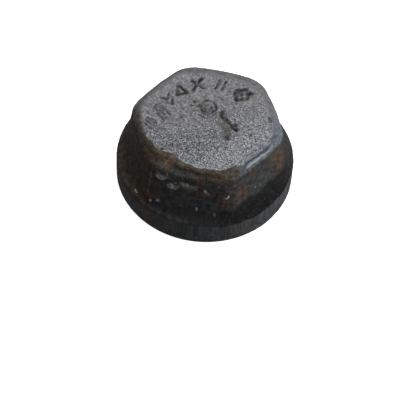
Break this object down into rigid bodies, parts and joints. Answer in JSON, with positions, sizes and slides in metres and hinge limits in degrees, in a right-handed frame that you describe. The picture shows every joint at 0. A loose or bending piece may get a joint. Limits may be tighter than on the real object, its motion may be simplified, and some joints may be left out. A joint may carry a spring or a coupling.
{
  "type": "hexagon pipe cap",
  "caption": "Forged hexagon pipe cap with a round flange, a parallel internal pipe thread and a captive flat washer.",
  "frame": {"origin": "centre of the mouth, on the face that the cap stands on", "axes": "+Z along the thread's axis through the crown; a corner of the hexagon lies on +X"},
  "size_m": [0.06, 0.06, 0.0282],
  "materials": {
    "forged_steel": "raw drop forging: blasted grey crown, dark scale with light rust on the flats, machined bright inside",
    "washer_rubber": "matt black nitrile rubber"
  },
  "bodies": {
    "root": {"cap_body": "forged_steel", "sealing_washer": "washer_rubber"}
  },
  "joints": []
}
